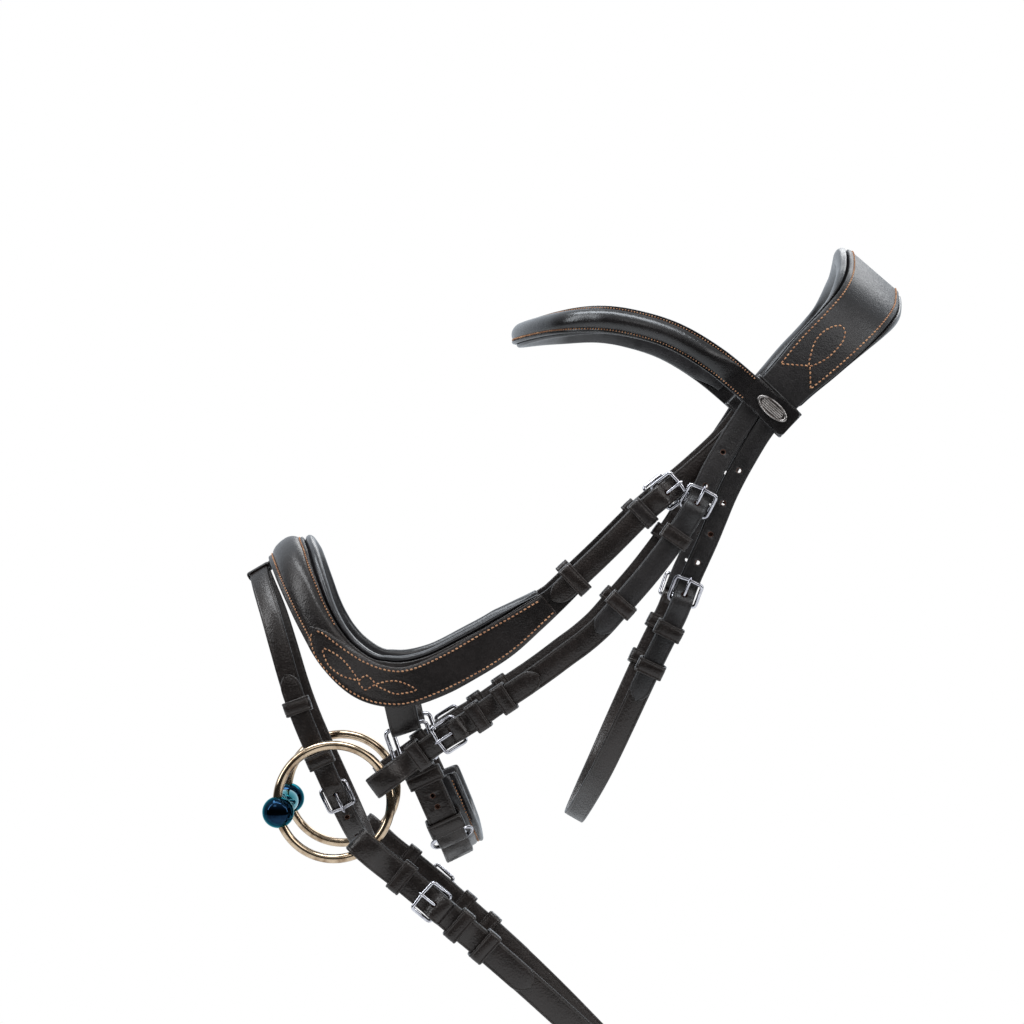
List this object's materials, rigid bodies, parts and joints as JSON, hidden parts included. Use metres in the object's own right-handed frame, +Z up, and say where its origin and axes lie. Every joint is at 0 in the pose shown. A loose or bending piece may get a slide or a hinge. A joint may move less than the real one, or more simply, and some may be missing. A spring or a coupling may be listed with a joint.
{
  "type": "horse bridle",
  "caption": "Padded leather riding bridle with flash noseband, browband, throat strap, loose-ring jointed bit and joined reins, held as worn on a horse's head.",
  "frame": {"origin": "underside of the crown pad on the middle plane, where the horse's poll carries it", "axes": "+X from the nose towards the neck, +Y to the far (right) side, +Z up"},
  "size_m": [0.4005, 0.2068, 0.5357],
  "materials": {
    "leather": "satin",
    "padding": "soft satin",
    "strap": "satin",
    "keeper": "satin",
    "steel": "polished",
    "bronze": "polished",
    "blue_steel": "polished",
    "pewter": "satin"
  },
  "bodies": {
    "bridle": {"crown_piece": "leather", "crown_pad": "padding", "noseband_hanger": "strap", "cheekpiece_left": "strap", "cheekpiece_right": "strap", "throat_strap": "strap", "noseband": "leather", "noseband_pad": "padding", "browband": "leather", "browband_pad": "padding", "badge_left": "pewter", "badge_right": "pewter", "flash_strap": "strap", "flash_buckle_frame": "steel", "noseband_dee_left": "steel", "noseband_dee_right": "steel", "chin_strap": "strap", "chin_pad": "padding", "chin_pad_strap": "strap", "roller_frame": "steel", "cheek_buckle_frame_left": "steel", "cheek_buckle_frame_right": "steel", "bit_buckle_frame_left": "steel", "bit_buckle_frame_right": "steel", "throat_buckle_frame_left": "steel", "throat_buckle_frame_right": "steel", "noseband_buckle_frame_left": "steel", "noseband_buckle_frame_right": "steel"},
    "cheek_tongue_left": {"cheek_buckle_tongue_left": "steel"},
    "cheek_tongue_right": {"cheek_buckle_tongue_right": "steel"},
    "bit_tongue_left": {"bit_buckle_tongue_left": "steel"},
    "bit_tongue_right": {"bit_buckle_tongue_right": "steel"},
    "throat_tongue_left": {"throat_buckle_tongue_left": "steel"},
    "throat_tongue_right": {"throat_buckle_tongue_right": "steel"},
    "noseband_tongue_left": {"noseband_buckle_tongue_left": "steel"},
    "noseband_tongue_right": {"noseband_buckle_tongue_right": "steel"},
    "flash_tongue": {"flash_buckle_tongue": "steel"},
    "cheek_runner_left": {"cheek_runner_left": "keeper"},
    "cheek_runner_right": {"cheek_runner_right": "keeper"},
    "throat_runner_left": {"throat_runner_left": "keeper"},
    "throat_runner_right": {"throat_runner_right": "keeper"},
    "noseband_runner_left": {"noseband_runner_left": "keeper"},
    "noseband_runner_right": {"noseband_runner_right": "keeper"},
    "flash_runner": {"flash_runner": "keeper"},
    "chin_runner": {"chin_runner": "keeper"},
    "reins": {"rein_left": "strap", "rein_right": "strap", "rein_join": "steel", "rein_buckle_frame_left": "steel", "rein_buckle_frame_right": "steel"},
    "rein_tongue_left": {"rein_buckle_tongue_left": "steel"},
    "rein_runner_left": {"rein_runner_left": "keeper"},
    "ring_left": {"bit_ring_left": "bronze"},
    "rein_tongue_right": {"rein_buckle_tongue_right": "steel"},
    "rein_runner_right": {"rein_runner_right": "keeper"},
    "ring_right": {"bit_ring_right": "bronze"},
    "arm_left": {"bit_arm_left": "blue_steel"},
    "arm_right": {"bit_arm_right": "blue_steel"},
    "link": {"bit_link": "blue_steel"},
    "roller": {"chin_roller": "steel"}
  },
  "joints": [
    {"name": "cheek_tongue_left_hinge", "type": "hinge", "parent": "bridle", "child": "cheek_tongue_left", "pos_m": [-0.1064, -0.09503, -0.13789], "axis": [0.8686, 0, -0.4955], "range_deg": [0, 4]},
    {"name": "cheek_tongue_right_hinge", "type": "hinge", "parent": "bridle", "child": "cheek_tongue_right", "pos_m": [-0.1064, 0.09503, -0.13789], "axis": [-0.8686, 0, 0.4955], "range_deg": [0, 4]},
    {"name": "bit_tongue_left_hinge", "type": "hinge", "parent": "bridle", "child": "bit_tongue_left", "pos_m": [-0.24562, -0.08206, -0.26778], "axis": [-0.5153, 0, 0.857], "range_deg": [0, 4]},
    {"name": "bit_tongue_right_hinge", "type": "hinge", "parent": "bridle", "child": "bit_tongue_right", "pos_m": [-0.24562, 0.08206, -0.26778], "axis": [0.5153, 0, -0.857], "range_deg": [0, 4]},
    {"name": "throat_tongue_left_hinge", "type": "hinge", "parent": "bridle", "child": "throat_tongue_left", "pos_m": [-0.11289, -0.09021, -0.19257], "axis": [0.9385, -0.0089, -0.3453], "range_deg": [0, 4]},
    {"name": "throat_tongue_right_hinge", "type": "hinge", "parent": "bridle", "child": "throat_tongue_right", "pos_m": [-0.11289, 0.09021, -0.19257], "axis": [-0.9385, -0.0089, 0.3453], "range_deg": [0, 4]},
    {"name": "noseband_tongue_left_hinge", "type": "hinge", "parent": "bridle", "child": "noseband_tongue_left", "pos_m": [-0.12546, -0.08793, -0.13007], "axis": [0.6304, 0, -0.7763], "range_deg": [0, 4]},
    {"name": "noseband_tongue_right_hinge", "type": "hinge", "parent": "bridle", "child": "noseband_tongue_right", "pos_m": [-0.12546, 0.08793, -0.13007], "axis": [-0.6304, 0, 0.7763], "range_deg": [0, 4]},
    {"name": "flash_tongue_hinge", "type": "hinge", "parent": "bridle", "child": "flash_tongue", "pos_m": [-0.32277, -0.05173, -0.3037], "axis": [-0.9059, 0.0032, -0.4235], "range_deg": [0, 4]},
    {"name": "cheek_runner_left_slide", "type": "slide", "parent": "bridle", "child": "cheek_runner_left", "axis": [-0.665, 0.0634, -0.7441], "range_m": [-0.004, 0.004]},
    {"name": "cheek_runner_right_slide", "type": "slide", "parent": "bridle", "child": "cheek_runner_right", "axis": [-0.665, -0.0634, -0.7441], "range_m": [-0.004, 0.004]},
    {"name": "throat_runner_left_slide", "type": "slide", "parent": "bridle", "child": "throat_runner_left", "axis": [-0.4195, 0.1122, -0.9008], "range_m": [-0.004, 0.004]},
    {"name": "throat_runner_right_slide", "type": "slide", "parent": "bridle", "child": "throat_runner_right", "axis": [-0.4195, -0.1122, -0.9008], "range_m": [-0.004, 0.004]},
    {"name": "noseband_runner_left_slide", "type": "slide", "parent": "bridle", "child": "noseband_runner_left", "axis": [-0.7309, 0, -0.6825], "range_m": [-0.004, 0.004]},
    {"name": "noseband_runner_right_slide", "type": "slide", "parent": "bridle", "child": "noseband_runner_right", "axis": [-0.7309, 0, -0.6825], "range_m": [-0.004, 0.004]},
    {"name": "flash_runner_slide", "type": "slide", "parent": "bridle", "child": "flash_runner", "axis": [0.3429, -0.0489, -0.9381], "range_m": [-0.004, 0.004]},
    {"name": "chin_runner_slide", "type": "slide", "parent": "bridle", "child": "chin_runner", "axis": [0.3918, 0.2881, -0.8738], "range_m": [-0.003, 0.001]},
    {"name": "reins_swing", "type": "hinge", "parent": "bridle", "child": "reins", "pos_m": [-0.32086, 0, -0.31243], "axis": [0, 1, 0], "range_deg": [-20, 45]},
    {"name": "rein_tongue_left_hinge", "type": "hinge", "parent": "reins", "child": "rein_tongue_left", "pos_m": [-0.25706, -0.07255, -0.37687], "axis": [0.6515, 0, 0.7586], "range_deg": [0, 4]},
    {"name": "rein_runner_left_slide", "type": "slide", "parent": "reins", "child": "rein_runner_left", "axis": [0.7424, 0.1594, -0.6507], "range_m": [-0.004, 0.004]},
    {"name": "ring_left_spin", "type": "hinge", "parent": "bridle", "child": "ring_left", "pos_m": [-0.32086, -0.074, -0.31243], "axis": [0, 1, 0], "continuous": true},
    {"name": "rein_tongue_right_hinge", "type": "hinge", "parent": "reins", "child": "rein_tongue_right", "pos_m": [-0.25706, 0.07255, -0.37687], "axis": [-0.6515, 0, -0.7586], "range_deg": [0, 4]},
    {"name": "rein_runner_right_slide", "type": "slide", "parent": "reins", "child": "rein_runner_right", "axis": [0.7424, -0.1594, -0.6507], "range_m": [-0.004, 0.004]},
    {"name": "ring_right_spin", "type": "hinge", "parent": "bridle", "child": "ring_right", "pos_m": [-0.32086, 0.074, -0.31243], "axis": [0, 1, 0], "continuous": true},
    {"name": "arm_left_swing", "type": "hinge", "parent": "bridle", "child": "arm_left", "pos_m": [-0.35441, -0.074, -0.31853], "axis": [0.1789, 0, -0.9839], "range_deg": [-4, 4]},
    {"name": "arm_right_swing", "type": "hinge", "parent": "bridle", "child": "arm_right", "pos_m": [-0.35441, 0.074, -0.31853], "axis": [0.1789, 0, -0.9839], "range_deg": [-4, 4]},
    {"name": "link_fold", "type": "hinge", "parent": "arm_left", "child": "link", "pos_m": [-0.35441, -0.0152, -0.31853], "axis": [0.1789, 0, -0.9839], "range_deg": [-4, 4]},
    {"name": "chin_roller_spin", "type": "hinge", "parent": "bridle", "child": "roller", "pos_m": [-0.25131, -0.04925, -0.33321], "axis": [-0.9118, -0.0157, -0.4103], "continuous": true}
  ],
  "couplings": [
    {"joint": "arm_right_swing", "follows": "arm_left_swing", "ratio": -1},
    {"joint": "link_fold", "follows": "arm_left_swing", "ratio": -1}
  ]
}
